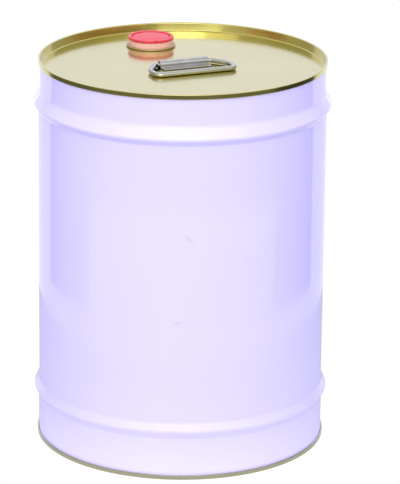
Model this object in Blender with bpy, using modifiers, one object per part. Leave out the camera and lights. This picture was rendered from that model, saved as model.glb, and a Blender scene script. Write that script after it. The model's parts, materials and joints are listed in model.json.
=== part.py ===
"""Tight-head tinplate paint drum of about 20 litres, with a wire bail and a pull-up pouring spout.

The drum stands on z = 0 around the Z axis. The bail's pivot lies along X over the middle of the top
head, and the pouring closure stands on the head towards +Y. All sizes are in metres.
"""

import math

import bmesh
import bpy
from mathutils import Matrix, Vector

# Drum
HEIGHT = 0.390
SHEET = 0.00035
BODY_RADIUS = 0.143
TOP_DRAW_IN = 0.00165
BOTTOM_FLARE = 0.00075
TOP_RECESS = 0.0086
BOTTOM_RECESS = 0.0070
RECESS_ROUNDING = 0.0012

# Double seams that join the ends to the body, and their layers from the outside in
SEAM_HEIGHT = 0.005
SEAM_ROUNDING = 0.0009
SEAM_LAYER_GAP = 0.0002
COMPOUND_DEPTH = 0.0006
SEAM_LAYERS = ("cover_wall", "body_hook", "cover_hook", "body_wall", "chuck_wall")

# Rolled hoops: how far the flanks' meeting line stands out of the body, and the run of each flank
HOOP_ROUNDING = 0.0035
UPPER_HOOP_DEPTH = 0.0049
UPPER_HOOP_DROP = 0.0440
UPPER_HOOP_RUN_ABOVE = 0.0120
UPPER_HOOP_RUN_BELOW = 0.0065
LOWER_HOOP_DEPTH = 0.0053
LOWER_HOOP_RISE = 0.0510
LOWER_HOOP_RUN_ABOVE = 0.0075
LOWER_HOOP_RUN_BELOW = 0.0080

# Side seam, welded where the two edges of the body blank lap
WELD_WIDTH = 0.005
WELD_STAND = 0.0003
WELD_ROOT = 0.00015
WELD_END_MARGIN = 0.002

# Bail and the strap that holds it down
WIRE_DIAMETER = 0.0048
WIRE_LIFT = 0.0006
BAIL_REACH = 0.035
BAIL_HALF_WIDTH = 0.042
BAIL_SHOULDER = 0.017
BAIL_NECK_ROUNDING = 0.006
BAIL_SHOULDER_ROUNDING = 0.012
BAIL_GRIP_ROUNDING = 0.007
BAIL_END_GAP = 0.001
BAIL_NECK_MARGIN = 0.0012
STRAP_SHEET = 0.0009
STRAP_LENGTH = 0.051
STRAP_FLANGE = 0.010
STRAP_BEND = 0.0008
STRAP_CLEARANCE = 0.0004
SPOT_WELD_RADIUS = 0.0019
SPOT_WELD_DEPTH = 0.00025
SPOT_WELD_SPACING = 0.030

# Clearance between pieces that touch
FIT = 0.0003

# Pouring closure, from its bore outwards
CLOSURE_FROM_WALL = 0.056175
SPOUT_BORE = 0.0125
SPOUT_WALL = 0.0015
SPOUT_FOOT_WIDTH = 0.0006
SPOUT_FOOT_THICKNESS = 0.0009
NECK_TOP = 0.0052
THREAD_PITCH = 0.003
THREAD_TURNS = 1.25
THREAD_RIDGE = 0.00055
THREAD_SINK = 0.00025
THREAD_TOP_MARGIN = 0.0001
THREAD_ROOM = 0.00145
CAP_THREAD_SINK = 0.0003
CAP_SKIRT_WALL = 0.0015
CAP_SKIRT_MARGIN = 0.00025
CAP_PLATE = 0.0007
CAP_SIDE_GAP = 0.0006
CAP_RUNNING_GAP = 0.0009
LINER_THICKNESS = 0.0007
LINER_MARGIN = 0.0003
BASE_WALL = 0.00135
BASE_ROOF = 0.0012
BASE_SKIRT_WALL = 0.0020
BASE_FOOT = 0.0005
BASE_TOE_WIDTH = 0.0012
BASE_TOE_HEIGHT = 0.0007
BASE_BELOW_CAP = 0.0015
BARB_DEPTH = 0.0010
BARB_DROP = 0.0004
HEAD_NECK_HEIGHT = 0.0042
HEAD_NECK_CLEARANCE = 0.00045
CRIMP_LIP = 0.0007
CRIMP_WALL = 0.0008
CRIMP_ROUNDING = 0.0006
BELLOWS_WALL = 0.0010
BELLOWS_DEPTH = 0.0190
BELLOWS_SWELL = 0.0004
SEAL_THICKNESS = 0.0008
SEAL_DROP = 0.0042
TEAR_RING_RADIUS = 0.0055
TEAR_RING_WIRE = 0.0007
TEAR_RING_DROP = 0.0005
TEAR_POST_RADIUS = 0.0009

# Pull rings folded flat on the cap
RING_WIDTH = 0.0046
RING_THICKNESS = 0.0026
RING_OVERHANG = 0.0005
RING_STANDING_GAP = 0.0008
RING_TAIL_CLEARANCE = 0.0001
CAP_CLOCKING = math.radians(-100)

# Facets of round pieces, and steps of bends
DRUM_FACETS = 48
CLOSURE_FACETS = 32
DIMPLE_FACETS = 16
POST_FACETS = 8
TEAR_RING_FACETS = 20
TEAR_WIRE_FACETS = 6
THREAD_STEPS_PER_TURN = 24
WIRE_BEVEL_STEPS = 2
THREAD_BEVEL_STEPS = 1
SHEET_BEND_STEPS = 2
STRAP_BEND_STEPS = 5
BAIL_BEND_STEPS = 5
CRIMP_BEND_STEPS = 3
BELLOWS_STEPS = 4
RING_STEPS = 14
TURN_MERGE = 0.00001

# Places that several pieces share
PANEL_TOP = HEIGHT - TOP_RECESS
WIRE_RADIUS = WIRE_DIAMETER / 2
PIVOT_LIFT = WIRE_LIFT + WIRE_RADIUS
BODY_WALL = BODY_RADIUS - SHEET / 2
TOP_WALL = BODY_WALL - TOP_DRAW_IN
CLOSURE_OFFSET = TOP_WALL - CLOSURE_FROM_WALL
BOTTOM_WALL = BODY_WALL + BOTTOM_FLARE
SEAM_PITCH = SHEET + SEAM_LAYER_GAP
SEAM_BEND = min(SEAM_ROUNDING, (len(SEAM_LAYERS) - 1) * SEAM_PITCH / 2)
NECK_RADIUS = SPOUT_BORE + SPOUT_WALL
CAP_SKIRT_INNER = NECK_RADIUS + THREAD_ROOM
CAP_SKIRT_OUTER = CAP_SKIRT_INNER + CAP_SKIRT_WALL
BASE_INNER = CAP_SKIRT_OUTER + CAP_RUNNING_GAP
BASE_INNER_BACK = BASE_INNER + BASE_WALL
HEAD_NECK_INNER = BASE_INNER_BACK + HEAD_NECK_CLEARANCE
HEAD_NECK_OUTER = HEAD_NECK_INNER + SHEET
BASE_SKIRT_INNER = HEAD_NECK_OUTER + HEAD_NECK_CLEARANCE
BASE_SKIRT_OUTER = BASE_SKIRT_INNER + BASE_SKIRT_WALL
BASE_CHANNEL_ROOF = HEAD_NECK_HEIGHT + HEAD_NECK_CLEARANCE
BASE_TOP = BASE_CHANNEL_ROOF + BASE_ROOF
LINER_BOTTOM = NECK_TOP + FIT
CAP_UNDERSIDE = max(LINER_BOTTOM + LINER_THICKNESS, BASE_TOP) + FIT
CAP_TOP = CAP_UNDERSIDE + CAP_PLATE
CAP_RADIUS = BASE_SKIRT_INNER - CAP_SIDE_GAP
THREAD_START = NECK_TOP - THREAD_TOP_MARGIN - THREAD_RIDGE - THREAD_PITCH * THREAD_TURNS
CAP_THREAD_START = THREAD_START - THREAD_PITCH / 2
CAP_SKIRT_BOTTOM = CAP_THREAD_START - THREAD_RIDGE - CAP_SKIRT_MARGIN
BASE_INNER_BOTTOM = CAP_SKIRT_BOTTOM - BASE_BELOW_CAP
SPOUT_FOOT_RADIUS = NECK_RADIUS + SPOUT_FOOT_WIDTH
BELLOWS_TOP = BASE_INNER_BOTTOM - FIT
BELLOWS_BOTTOM = BELLOWS_TOP - BELLOWS_DEPTH
RING_MIDDLE = CAP_TOP + FIT + RING_THICKNESS / 2
RING_HINGE_OFFSET = (RING_THICKNESS + RING_STANDING_GAP) / 2
RING_SWING = RING_MIDDLE - CAP_TOP - RING_TAIL_CLEARANCE
RING_HINGE_TAIL = math.sqrt(RING_SWING ** 2 - (RING_THICKNESS / 2) ** 2)

# Depths into a double seam, measured from its outer end
COVER_BEND = SHEET / 2
HOOK_BEND = COVER_BEND + SHEET + COMPOUND_DEPTH + 2 * SEAM_LAYER_GAP
COVER_CURL = SEAM_HEIGHT - SHEET / 2
COVER_HOOK_TIP = HOOK_BEND + SHEET / 2 + SEAM_LAYER_GAP
BODY_HOOK_TIP = COVER_CURL - SHEET / 2 - SEAM_LAYER_GAP


def new_collection(name):
    collection = bpy.data.collections.new(name)
    bpy.context.scene.collection.children.link(collection)
    return collection


def new_material(name, colour, roughness, metallic):
    material = bpy.data.materials.new(name)
    material.use_nodes = True
    shader = material.node_tree.nodes["Principled BSDF"]
    shader.inputs["Base Color"].default_value = (*colour, 1.0)
    shader.inputs["Roughness"].default_value = roughness
    shader.inputs["Metallic"].default_value = metallic
    return material


def place(name, data, material, parent=None, location=(0, 0, 0), rotation=(0, 0, 0)):
    """A named part in the drum's collection, carrying its material."""
    part = bpy.data.objects.new(name, data)
    data.materials.append(material)
    part.parent = parent
    part.location = location
    part.rotation_euler = rotation
    PARTS.objects.link(part)
    return part


def place_axis(name, location, parent=None):
    """An empty on an axis that pieces share."""
    axis = bpy.data.objects.new(name, None)
    axis.location = location
    axis.parent = parent
    PARTS.objects.link(axis)
    return axis


def combine(part, tool, operation):
    """Cuts or joins a shape, which is then kept hidden among the tools."""
    modifier = part.modifiers.new(tool.name, "BOOLEAN")
    modifier.operation = operation
    modifier.object = tool
    PARTS.objects.unlink(tool)
    TOOLS.objects.link(tool)
    tool.hide_render = True
    tool.display_type = "WIRE"


def rounded(corners, radii, steps):
    """The corners as points, each corner with a radius replaced by an arc of this many steps."""
    points = []
    for index, corner in enumerate(corners):
        here = Vector(corner)
        radius = radii[index]
        if not radius:
            points.append(here)
            continue
        arriving = (here - Vector(corners[index - 1])).normalized()
        leaving = (Vector(corners[index + 1]) - here).normalized()
        turn = arriving.angle_signed(leaving)
        tangent = radius * math.tan(abs(turn) / 2)
        start = here - arriving * tangent
        side = Vector((arriving.y, -arriving.x)) * math.copysign(radius, turn)
        centre = start + side
        for step in range(steps + 1):
            spin = Matrix.Rotation(-turn * step / steps, 2)
            points.append(centre + spin @ (start - centre))
    # Two arcs that meet share a point.
    return [points[0]] + [b for a, b in zip(points, points[1:]) if (b - a).length > TURN_MERGE]


def strip(path, thickness):
    """Closed outline of a sheet whose middle follows the path."""
    left = []
    right = []
    for index, point in enumerate(path):
        here = Vector(point)
        normals = []
        for first, second in ((index - 1, index), (index, index + 1)):
            if first >= 0 and second < len(path):
                run = (Vector(path[second]) - Vector(path[first])).normalized()
                normals.append(Vector((-run.y, run.x)))
        both = normals[0] + normals[-1]
        offset = both * thickness / both.dot(both)
        left.append(here + offset)
        right.append(here - offset)
    return left + right[::-1]


def turned(name, outline, facets, material, parent=None, angle=2 * math.pi, start=0.0):
    """A piece turned about Z from a closed outline of (radius, height), open where it lies on the axis."""
    points = [(max(radius, 0.0), height) for radius, height in outline]
    pairs = list(zip(points, points[1:] + points[:1]))
    area = sum(a[0] * b[1] - b[0] * a[1] for a, b in pairs)
    if area > 0:
        points.reverse()
    mesh = bpy.data.meshes.new(name)
    count = len(points)
    edges = [(index, (index + 1) % count) for index in range(count)]
    on_axis = [radius < TURN_MERGE for radius, height in points]
    edges = [(a, b) for a, b in edges if not (on_axis[a] and on_axis[b])]
    mesh.from_pydata([(radius, 0, height) for radius, height in points], edges, [])
    part = place(name, mesh, material, parent, rotation=(0, 0, start))
    screw = part.modifiers.new("turn", "SCREW")
    screw.angle = angle
    screw.steps = facets
    screw.render_steps = facets
    screw.use_smooth_shade = True
    screw.use_merge_vertices = True
    screw.merge_threshold = TURN_MERGE
    return part


def poly_curve(name, points, closed):
    curve = bpy.data.curves.new(name, "CURVE")
    spline = curve.splines.new("POLY")
    spline.points.add(len(points) - 1)
    for target, point in zip(spline.points, points):
        target.co = (*Vector(point).to_3d(), 1.0)
    spline.use_cyclic_u = closed
    return curve


def plate(name, outline, thickness, material, parent=None, location=(0, 0, 0), rotation=(0, 0, 0)):
    """A flat piece cut to an outline, centred on its thickness."""
    curve = poly_curve(name, outline, True)
    curve.dimensions = "2D"
    curve.fill_mode = "BOTH"
    curve.extrude = thickness / 2
    return place(name, curve, material, parent, location, rotation)


def wire(name, points, radius, sides_level, material, parent=None, location=(0, 0, 0)):
    """A round wire or ridge along points, with closed ends."""
    curve = poly_curve(name, points, False)
    curve.dimensions = "3D"
    curve.bevel_depth = radius
    curve.bevel_resolution = sides_level
    curve.use_fill_caps = True
    return place(name, curve, material, parent, location)


def as_mesh(part):
    """The same piece as a mesh with its ends closed, so that it can be cut and joined."""
    bpy.context.view_layer.update()
    graph = bpy.context.evaluated_depsgraph_get()
    mesh = bpy.data.meshes.new_from_object(part.evaluated_get(graph))
    shape = bmesh.new()
    shape.from_mesh(mesh)
    bmesh.ops.remove_doubles(shape, verts=shape.verts, dist=TURN_MERGE)
    bmesh.ops.holes_fill(shape, edges=shape.edges)
    bmesh.ops.recalc_face_normals(shape, faces=shape.faces)
    shape.to_mesh(mesh)
    shape.free()
    name = part.name
    world = part.matrix_world.copy()
    bpy.data.objects.remove(part)
    solid = bpy.data.objects.new(name, mesh)
    solid.matrix_world = world
    PARTS.objects.link(solid)
    return solid


def rod(name, radius, bottom, top, facets, material, parent, centre=(0, 0)):
    """A solid round bar standing between two heights."""
    mesh = bpy.data.meshes.new(name)
    shape = bmesh.new()
    bmesh.ops.create_cone(
        shape, cap_ends=True, segments=facets, radius1=radius, radius2=radius, depth=top - bottom
    )
    shape.to_mesh(mesh)
    shape.free()
    return place(name, mesh, material, parent, (*centre, (bottom + top) / 2))


def seam_radii(body_wall):
    """Middle radius of each layer of a double seam around the body's wall."""
    wall_layer = SEAM_LAYERS.index("body_wall")
    return {
        name: body_wall + (wall_layer - layer) * SEAM_PITCH for layer, name in enumerate(SEAM_LAYERS)
    }


def head_path(body_wall, recess):
    """Middle line of an end sheet as (radius, depth), from its hook to the middle of its panel."""
    radii = seam_radii(body_wall)
    panel = recess + SHEET / 2
    corners = [
        (radii["cover_hook"], COVER_HOOK_TIP),
        (radii["cover_hook"], COVER_CURL),
        (radii["cover_wall"], COVER_CURL),
        (radii["cover_wall"], COVER_BEND),
        (radii["chuck_wall"], COVER_BEND),
        (radii["chuck_wall"], panel),
        (0.0, panel),
    ]
    return rounded(corners, [0, 0, 0, SEAM_BEND, SEAM_BEND, RECESS_ROUNDING, 0], SHEET_BEND_STEPS)


def hook_path(body_wall):
    """Middle line of the body's hook inside a double seam as (radius, depth), from its tip."""
    radii = seam_radii(body_wall)
    return [
        (radii["body_hook"], BODY_HOOK_TIP),
        (radii["body_hook"], HOOK_BEND),
        (radii["body_wall"], HOOK_BEND),
    ]


def hoop_path(depth, crest_height, radius_above, run_above, radius_below, run_below):
    """Middle line of a rolled hoop, from its upper foot to its lower foot."""
    corners = [
        (radius_above, crest_height + run_above),
        (BODY_WALL + depth, crest_height),
        (radius_below, crest_height - run_below),
    ]
    return rounded(corners, [0, HOOP_ROUNDING, 0], SHEET_BEND_STEPS)


def compound_outline(body_wall):
    """Section of the sealing compound as (radius, depth), under the bend of the end sheet."""
    radii = seam_radii(body_wall)
    inside = radii["chuck_wall"] + SHEET / 2 + SEAM_LAYER_GAP
    outside = radii["cover_wall"] - SHEET / 2 - SEAM_LAYER_GAP
    shallow = SHEET + SEAM_LAYER_GAP
    deep = shallow + COMPOUND_DEPTH
    corners = [(inside, shallow), (outside, shallow), (outside, deep), (inside, deep)]
    under_the_bend = min(SEAM_BEND - SHEET / 2 - SEAM_LAYER_GAP, COMPOUND_DEPTH)
    return rounded(corners, [under_the_bend, under_the_bend, 0, 0], SHEET_BEND_STEPS)


def from_top(path):
    return [(radius, HEIGHT - depth) for radius, depth in path]


def make_shell(paint):
    """Painted wall with its two hoops, hooked at both ends, and the welded lap at the back."""
    hoops = hoop_path(
        UPPER_HOOP_DEPTH,
        HEIGHT - UPPER_HOOP_DROP,
        TOP_WALL,
        UPPER_HOOP_RUN_ABOVE,
        BODY_WALL,
        UPPER_HOOP_RUN_BELOW,
    )
    hoops += hoop_path(
        LOWER_HOOP_DEPTH,
        LOWER_HOOP_RISE,
        BODY_WALL,
        LOWER_HOOP_RUN_ABOVE,
        BOTTOM_WALL,
        LOWER_HOOP_RUN_BELOW,
    )
    path = from_top(hook_path(TOP_WALL)) + hoops + hook_path(BOTTOM_WALL)[::-1]
    shell = turned("body_shell", strip(path, SHEET), DRUM_FACETS, paint)

    # The lap lies on the flat of one facet, so its radii are measured to that flat.
    facet = 2 * math.pi / DRUM_FACETS
    lap_angle = WELD_WIDTH / BODY_RADIUS
    flat = math.cos(facet / 2) / math.cos(lap_angle / 2)
    lap_bottom = SEAM_HEIGHT + WELD_END_MARGIN
    lap_top = HEIGHT - SEAM_HEIGHT - WELD_END_MARGIN
    line = [(TOP_WALL, lap_top)] + [tuple(point) for point in hoops] + [(BOTTOM_WALL, lap_bottom)]
    outside = [(radius * flat + SHEET / 2 + WELD_STAND, height) for radius, height in line]
    inside = [(radius * flat + SHEET / 2 - WELD_ROOT, height) for radius, height in line]
    at_the_back = math.pi / 2 + facet / 2 - lap_angle / 2
    lap_outline = outside + inside[::-1]
    lap = turned("side_seam_lap", lap_outline, 1, paint, angle=lap_angle, start=at_the_back)
    combine(shell, as_mesh(lap), "UNION")


def make_heads(lacquer, closure):
    """Top and bottom ends. The top one has a hole with an upstanding neck for the closure."""
    top_section = strip(from_top(head_path(TOP_WALL, TOP_RECESS)), SHEET)
    top = turned("top_head", top_section, DRUM_FACETS, lacquer)
    neck_middle = (HEAD_NECK_INNER + HEAD_NECK_OUTER) / 2
    hole = rod("head_hole", neck_middle, -TOP_RECESS, TOP_RECESS, CLOSURE_FACETS, lacquer, closure)
    combine(top, hole, "DIFFERENCE")
    root = -SHEET / 2
    neck = turned(
        "head_neck",
        [
            (HEAD_NECK_INNER, HEAD_NECK_HEIGHT),
            (HEAD_NECK_OUTER, HEAD_NECK_HEIGHT),
            (HEAD_NECK_OUTER, root),
            (HEAD_NECK_INNER, root),
        ],
        CLOSURE_FACETS,
        lacquer,
        closure,
    )
    combine(top, neck, "UNION")
    bottom_section = strip(head_path(BOTTOM_WALL, BOTTOM_RECESS), SHEET)
    turned("bottom_head", bottom_section, DRUM_FACETS, lacquer)


def make_compounds(rubber):
    """Rubbery sealing compound that was run into each end before it was seamed on."""
    turned("top_seam_compound", from_top(compound_outline(TOP_WALL)), DRUM_FACETS, rubber)
    turned("bottom_seam_compound", compound_outline(BOTTOM_WALL), DRUM_FACETS, rubber)


def make_strap(tin):
    """Sheet strap arched over the wire, with a flange each side spot-welded to the head."""
    arch = WIRE_RADIUS + STRAP_CLEARANCE + STRAP_SHEET / 2
    foot = FIT + STRAP_SHEET / 2
    crown = PIVOT_LIFT + arch
    corners = [
        (-arch - STRAP_FLANGE, foot),
        (-arch, foot),
        (-arch, crown),
        (arch, crown),
        (arch, foot),
        (arch + STRAP_FLANGE, foot),
    ]
    path = rounded(corners, [0, STRAP_BEND, arch, arch, STRAP_BEND, 0], STRAP_BEND_STEPS)
    on_the_panel = (0, 0, PANEL_TOP)
    along_the_pivot = (math.pi / 2, 0, math.pi / 2)
    section = strip(path, STRAP_SHEET)
    strap = plate("bail_strap", section, STRAP_LENGTH, tin, None, on_the_panel, along_the_pivot)
    strap = as_mesh(strap)
    flange_top = PANEL_TOP + FIT + STRAP_SHEET
    weld_line = arch + STRAP_FLANGE / 2
    for side in (-1, 1):
        for end in (-1, 1):
            dimple = rod(
                "spot_weld",
                SPOT_WELD_RADIUS,
                flange_top - SPOT_WELD_DEPTH,
                flange_top + STRAP_SHEET,
                DIMPLE_FACETS,
                tin,
                None,
                (end * SPOT_WELD_SPACING / 2, side * weld_line),
            )
            combine(strap, dimple, "DIFFERENCE")


def make_bail(bright_wire):
    """Wire stirrup lying towards -Y, with its two ends butting in the middle of the strap."""
    neck = STRAP_LENGTH / 2 + BAIL_NECK_MARGIN
    lean = math.atan2(BAIL_SHOULDER, BAIL_HALF_WIDTH - neck)
    neck += BAIL_NECK_ROUNDING * math.tan(lean / 2)
    corners = [
        (BAIL_END_GAP / 2, 0),
        (neck, 0),
        (BAIL_HALF_WIDTH, -BAIL_SHOULDER),
        (BAIL_HALF_WIDTH, -BAIL_REACH),
        (0, -BAIL_REACH),
    ]
    radii = [0, BAIL_NECK_ROUNDING, BAIL_SHOULDER_ROUNDING, BAIL_GRIP_ROUNDING, 0]
    half = rounded(corners, radii, BAIL_BEND_STEPS)
    other_half = [(-point.x, point.y) for point in half[-2::-1]]
    path = [tuple(point) for point in half] + other_half
    pivot = (0, 0, PANEL_TOP + PIVOT_LIFT)
    wire("bail_handle", path, WIRE_RADIUS, WIRE_BEVEL_STEPS, bright_wire, location=pivot)


def helix(radius, start, turns):
    """Points of a thread's middle line, rising by the pitch each turn."""
    points = []
    for step in range(round(turns * THREAD_STEPS_PER_TURN) + 1):
        share = step / THREAD_STEPS_PER_TURN
        angle = 2 * math.pi * share
        points.append((radius * math.cos(angle), radius * math.sin(angle), start + THREAD_PITCH * share))
    return points


def make_crimp_ring(lacquer, closure):
    """Gold ring that traps the toe of the spout's skirt against the head."""
    inside = BASE_SKIRT_OUTER + FIT
    toe = BASE_SKIRT_OUTER + BASE_TOE_WIDTH + FIT
    outside = toe + CRIMP_WALL
    lip_bottom = BASE_FOOT + BASE_TOE_HEIGHT + FIT
    lip_top = lip_bottom + CRIMP_LIP
    corners = [
        (inside, lip_top),
        (outside, lip_top),
        (outside, FIT),
        (toe, FIT),
        (toe, lip_bottom),
        (inside, lip_bottom),
    ]
    outline = rounded(corners, [0, CRIMP_ROUNDING, 0, 0, 0, 0], CRIMP_BEND_STEPS)
    turned("crimp_ring", outline, CLOSURE_FACETS, lacquer, closure)


def make_spout(plastic, closure, slide):
    """Spout base hooked over the head's neck, the wall that turns inside out, and the pouring neck.

    The base's skirt carries on upwards as a rim around the cap's plate, flush with its top.
    """
    barb_top = -SHEET - BARB_DROP
    barb_tip = barb_top - BARB_DROP
    turned(
        "spout_base",
        [
            (BASE_INNER, BASE_TOP),
            (BASE_SKIRT_INNER, BASE_TOP),
            (BASE_SKIRT_INNER, CAP_TOP),
            (BASE_SKIRT_OUTER, CAP_TOP),
            (BASE_SKIRT_OUTER, BASE_FOOT + BASE_TOE_HEIGHT),
            (BASE_SKIRT_OUTER + BASE_TOE_WIDTH, BASE_FOOT + BASE_TOE_HEIGHT),
            (BASE_SKIRT_OUTER + BASE_TOE_WIDTH, BASE_FOOT),
            (BASE_SKIRT_INNER, BASE_FOOT),
            (BASE_SKIRT_INNER, BASE_CHANNEL_ROOF),
            (BASE_INNER_BACK, BASE_CHANNEL_ROOF),
            (BASE_INNER_BACK, barb_top),
            (BASE_INNER_BACK + BARB_DEPTH, barb_tip),
            (BASE_INNER_BACK, BASE_INNER_BOTTOM),
            (BASE_INNER, BASE_INNER_BOTTOM),
        ],
        CLOSURE_FACETS,
        plastic,
        closure,
    )
    upper_radius = BASE_INNER - FIT - BELLOWS_WALL / 2
    lower_radius = SPOUT_FOOT_RADIUS + FIT + BELLOWS_WALL / 2
    fold = []
    for step in range(BELLOWS_STEPS + 1):
        share = step / BELLOWS_STEPS
        swell = BELLOWS_SWELL * math.sin(math.pi * share)
        radius = upper_radius + (lower_radius - upper_radius) * share + swell
        fold.append((radius, BELLOWS_TOP - BELLOWS_DEPTH * share))
    turned("spout_bellows", strip(fold, BELLOWS_WALL), CLOSURE_FACETS, plastic, closure)

    foot_top = BELLOWS_BOTTOM - FIT
    foot_bottom = foot_top - SPOUT_FOOT_THICKNESS
    neck = turned(
        "spout_neck",
        [
            (SPOUT_BORE, NECK_TOP),
            (NECK_RADIUS, NECK_TOP),
            (NECK_RADIUS, foot_top),
            (SPOUT_FOOT_RADIUS, foot_top),
            (SPOUT_FOOT_RADIUS, foot_bottom),
            (SPOUT_BORE, foot_bottom),
        ],
        CLOSURE_FACETS,
        plastic,
        slide,
    )
    ridge_radius = NECK_RADIUS + THREAD_RIDGE - THREAD_SINK
    ridge_line = helix(ridge_radius, THREAD_START, THREAD_TURNS)
    ridge = wire("neck_thread", ridge_line, THREAD_RIDGE, THREAD_BEVEL_STEPS, plastic, slide)
    combine(neck, as_mesh(ridge), "UNION")


def make_seal(plastic, slide):
    """Tear-out disc across the neck, with the post and ring that pull it out."""
    disc_top = NECK_TOP - SEAL_DROP
    disc_bottom = disc_top - SEAL_THICKNESS
    seal = rod("spout_seal", SPOUT_BORE - FIT, disc_bottom, disc_top, CLOSURE_FACETS, plastic, slide)
    ring_level = NECK_TOP - TEAR_RING_DROP - TEAR_RING_WIRE
    post = rod(
        "tear_post",
        TEAR_POST_RADIUS,
        (disc_bottom + disc_top) / 2,
        ring_level,
        POST_FACETS,
        plastic,
        slide,
        (TEAR_RING_RADIUS, 0),
    )
    combine(seal, post, "UNION")
    section = []
    for step in range(TEAR_WIRE_FACETS):
        angle = 2 * math.pi * step / TEAR_WIRE_FACETS
        across = TEAR_RING_WIRE * math.cos(angle)
        section.append((TEAR_RING_RADIUS + across, ring_level + TEAR_RING_WIRE * math.sin(angle)))
    combine(seal, turned("tear_ring", section, TEAR_RING_FACETS, plastic, slide), "UNION")


def make_cap(red, foam, slide):
    """Red screw cap with its threaded skirt, and the sealing wad under its plate."""
    liner_radius = CAP_SKIRT_INNER - THREAD_RIDGE - LINER_MARGIN
    liner_top = LINER_BOTTOM + LINER_THICKNESS
    rod("cap_liner", liner_radius, LINER_BOTTOM, liner_top, CLOSURE_FACETS, foam, slide)
    cap = turned(
        "cap",
        [
            (0, CAP_TOP),
            (CAP_RADIUS, CAP_TOP),
            (CAP_RADIUS, CAP_UNDERSIDE),
            (CAP_SKIRT_OUTER, CAP_UNDERSIDE),
            (CAP_SKIRT_OUTER, CAP_SKIRT_BOTTOM),
            (CAP_SKIRT_INNER, CAP_SKIRT_BOTTOM),
            (CAP_SKIRT_INNER, CAP_UNDERSIDE),
            (0, CAP_UNDERSIDE),
        ],
        CLOSURE_FACETS,
        red,
        slide,
    )
    ridge_radius = CAP_SKIRT_INNER - THREAD_RIDGE + CAP_THREAD_SINK
    ridge_line = helix(ridge_radius, CAP_THREAD_START, THREAD_TURNS)
    ridge = wire("cap_thread", ridge_line, THREAD_RIDGE, THREAD_BEVEL_STEPS, red, slide)
    combine(cap, as_mesh(ridge), "UNION")


def make_pull_rings(red, slide):
    """Two half rings folded flat on the cap, each hinged along its own line beside the diameter."""
    outer = BASE_SKIRT_OUTER + RING_OVERHANG
    inner = outer - RING_WIDTH
    tail_line = RING_HINGE_OFFSET - RING_HINGE_TAIL
    outline = []
    for radius, steps in ((outer, range(RING_STEPS + 1)), (inner, range(RING_STEPS, -1, -1))):
        first = math.asin(tail_line / radius)
        for step in steps:
            angle = first + (math.pi - 2 * first) * step / RING_STEPS
            outline.append((radius * math.cos(angle), radius * math.sin(angle) - RING_HINGE_OFFSET))
    for name, turn in (("pull_ring_left", CAP_CLOCKING), ("pull_ring_right", CAP_CLOCKING + math.pi)):
        hinge = Matrix.Rotation(turn, 2) @ Vector((0, RING_HINGE_OFFSET))
        location = (hinge.x, hinge.y, RING_MIDDLE)
        plate(name, outline, RING_THICKNESS, red, slide, location, (0, 0, turn))


for leftover in list(bpy.data.objects):
    bpy.data.objects.remove(leftover)

PARTS = new_collection("paint_drum")
TOOLS = new_collection("paint_drum_tools")

white_paint = new_material("lavender_white_enamel", (0.80, 0.77, 0.93), 0.22, 0.0)
gold_lacquer = new_material("gold_lacquered_tinplate", (0.78, 0.66, 0.33), 0.18, 1.0)
seam_rubber = new_material("seam_compound", (0.30, 0.30, 0.29), 0.80, 0.0)
bright_tin = new_material("bright_tinplate", (0.78, 0.79, 0.80), 0.22, 1.0)
bright_wire = new_material("bright_steel_wire", (0.80, 0.80, 0.81), 0.16, 1.0)
pale_plastic = new_material("natural_polyethylene", (0.86, 0.66, 0.60), 0.45, 0.0)
red_plastic = new_material("red_polyethylene", (0.82, 0.09, 0.11), 0.38, 0.0)
white_foam = new_material("polyethylene_foam", (0.90, 0.90, 0.88), 0.85, 0.0)

closure_axis = place_axis("closure_axis", (0, CLOSURE_OFFSET, PANEL_TOP))
spout_slide = place_axis("spout_slide", (0, 0, 0), parent=closure_axis)

make_shell(white_paint)
make_heads(gold_lacquer, closure_axis)
make_compounds(seam_rubber)
make_strap(bright_tin)
make_bail(bright_wire)
make_crimp_ring(gold_lacquer, closure_axis)
make_spout(pale_plastic, closure_axis, spout_slide)
make_seal(pale_plastic, spout_slide)
make_cap(red_plastic, white_foam, spout_slide)
make_pull_rings(red_plastic, spout_slide)
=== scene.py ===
import json
import math

import bmesh
import bpy
from mathutils import Euler, Matrix, Vector, noise


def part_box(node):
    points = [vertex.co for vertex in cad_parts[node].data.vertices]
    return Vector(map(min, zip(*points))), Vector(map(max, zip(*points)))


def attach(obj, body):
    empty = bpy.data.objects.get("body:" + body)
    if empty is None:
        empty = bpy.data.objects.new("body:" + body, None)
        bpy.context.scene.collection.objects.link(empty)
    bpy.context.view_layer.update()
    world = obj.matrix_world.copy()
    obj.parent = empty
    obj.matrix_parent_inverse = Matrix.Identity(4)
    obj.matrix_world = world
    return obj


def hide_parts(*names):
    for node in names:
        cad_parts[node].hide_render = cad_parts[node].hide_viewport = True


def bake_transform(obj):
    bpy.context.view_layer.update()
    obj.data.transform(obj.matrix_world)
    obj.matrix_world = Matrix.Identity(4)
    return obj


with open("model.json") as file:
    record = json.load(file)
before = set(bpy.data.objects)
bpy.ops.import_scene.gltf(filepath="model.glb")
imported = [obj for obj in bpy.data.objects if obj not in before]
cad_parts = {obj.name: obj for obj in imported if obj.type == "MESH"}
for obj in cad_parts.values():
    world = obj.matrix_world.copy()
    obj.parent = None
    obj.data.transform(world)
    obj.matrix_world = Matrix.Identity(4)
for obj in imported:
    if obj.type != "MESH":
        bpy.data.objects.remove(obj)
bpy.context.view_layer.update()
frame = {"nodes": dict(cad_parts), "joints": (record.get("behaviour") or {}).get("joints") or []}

# Body shell
# A tinplate blank, coated flat with white enamel and stoved, then rolled into a tube and welded down
# the back. Two hoops are expanded into it, and both ends are hooked into the seams of the heads.
# Sizes are in millimetres from here on, and become metres where points of a mesh are made.
MM = 0.001
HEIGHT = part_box("top_head")[1].z / MM
SHEET = 0.35
SEAM_PITCH = 0.55
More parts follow.
